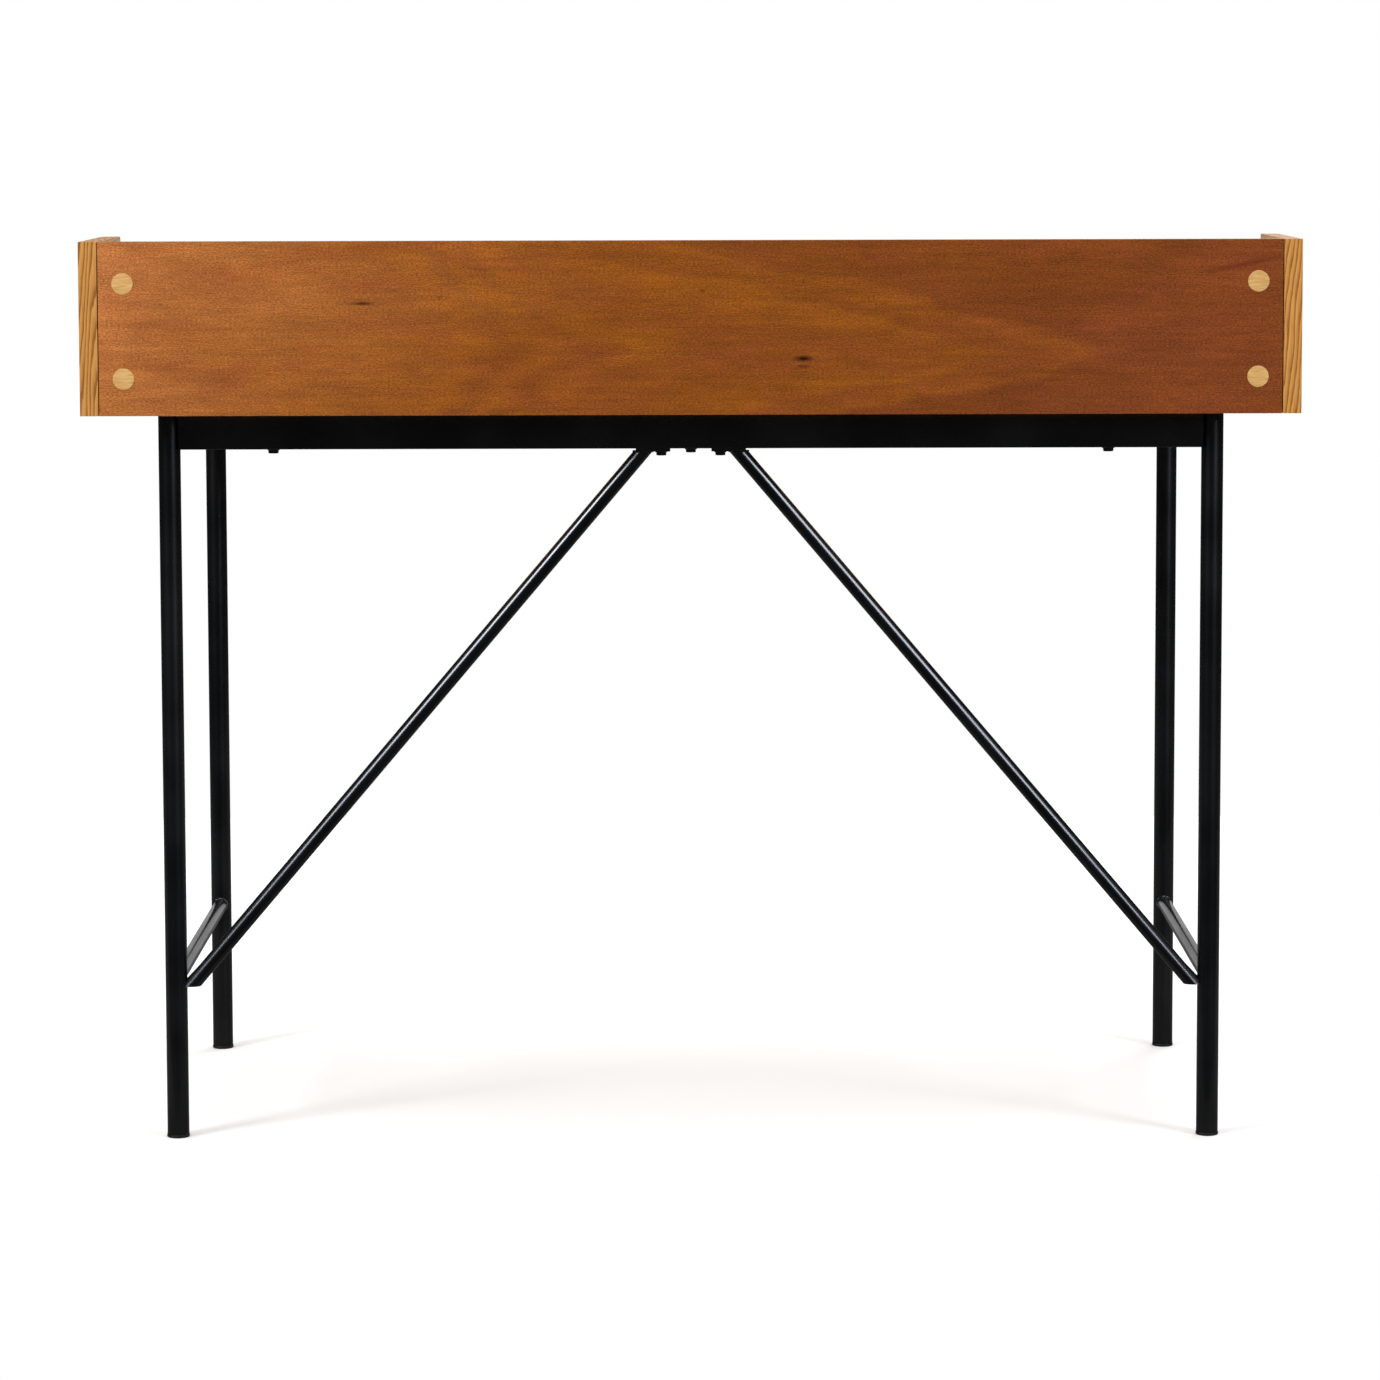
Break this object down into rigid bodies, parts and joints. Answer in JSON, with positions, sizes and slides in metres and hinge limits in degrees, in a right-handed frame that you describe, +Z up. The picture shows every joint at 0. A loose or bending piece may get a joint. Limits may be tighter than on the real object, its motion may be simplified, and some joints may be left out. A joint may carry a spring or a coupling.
{
  "type": "writing desk",
  "caption": "Writing desk with a raised oak gallery, small drawers either side of an open bay, and a black round-tube steel frame with diagonal braces at the back.",
  "frame": {"origin": "on the floor, at the middle of the desk's width and depth", "axes": "+Z up; +X along the desk's width, to the sitter's right; +Y towards the back, so the sitter is on the -Y side"},
  "size_m": [1.2, 0.6004, 0.907],
  "materials": {
    "oak": "oak veneer, satin lacquer",
    "back_plywood": "reddish-brown tropical plywood, satin lacquer",
    "drawer_wood": "plain birch, clear sealed",
    "beech": "plain beech",
    "cover_cap": "pale maple-coloured foil cap, satin",
    "black_steel": "black powder coat, semi-gloss",
    "black_bolt": "black zinc-plated steel, semi-gloss",
    "black_metal": "black lacquered zinc, semi-gloss",
    "foot_plastic": "moulded black plastic, fine grain",
    "zinc": "bright zinc plate",
    "nylon": "natural nylon",
    "rubber": "soft black rubber"
  },
  "bodies": {
    "desk": {"side_panel_left": "oak", "side_panel_right": "oak", "back_panel": "back_plywood", "desktop": "oak", "gallery_shelf": "oak", "divider_left": "oak", "divider_right": "oak", "cam_locks": "zinc", "cam_dowels": "zinc", "cam_cover_caps": "cover_cap", "divider_screws": "zinc", "divider_dowels": "beech", "back_panel_dowels": "beech", "drawer_glides": "nylon", "drawer_stops": "drawer_wood", "drawer_bumpers": "rubber", "leg_front_left": "black_steel", "leg_front_right": "black_steel", "leg_rear_left": "black_steel", "leg_rear_right": "black_steel", "foot_front_left": "foot_plastic", "foot_front_right": "foot_plastic", "foot_rear_left": "foot_plastic", "foot_rear_right": "foot_plastic", "stretcher_left": "black_steel", "stretcher_right": "black_steel", "side_rail_left": "black_steel", "side_rail_right": "black_steel", "front_rail": "black_steel", "rear_rail": "black_steel", "brace_left": "black_steel", "brace_right": "black_steel", "brace_tab_left": "black_steel", "brace_tab_right": "black_steel", "brace_lug_left": "black_steel", "brace_lug_right": "black_steel", "rail_brackets": "black_steel", "bracket_bolts": "black_bolt", "case_bolts": "black_bolt", "threaded_inserts": "zinc", "brace_bolts": "black_bolt", "rivet_nuts": "zinc"},
    "drawer_left": {"drawer_left_front": "oak", "drawer_left_side_outer": "drawer_wood", "drawer_left_side_inner": "drawer_wood", "drawer_left_back": "drawer_wood", "drawer_left_bottom": "drawer_wood", "drawer_left_knob": "black_metal", "drawer_left_knob_screw": "zinc", "drawer_left_dowels": "beech"},
    "drawer_right": {"drawer_right_front": "oak", "drawer_right_side_outer": "drawer_wood", "drawer_right_side_inner": "drawer_wood", "drawer_right_back": "drawer_wood", "drawer_right_bottom": "drawer_wood", "drawer_right_knob": "black_metal", "drawer_right_knob_screw": "zinc", "drawer_right_dowels": "beech"}
  },
  "joints": [
    {"name": "drawer_left_slide", "type": "slide", "parent": "desk", "child": "drawer_left", "axis": [0, -1, 0], "range_m": [0, 0.125]},
    {"name": "drawer_right_slide", "type": "slide", "parent": "desk", "child": "drawer_right", "axis": [0, -1, 0], "range_m": [0, 0.125]}
  ]
}
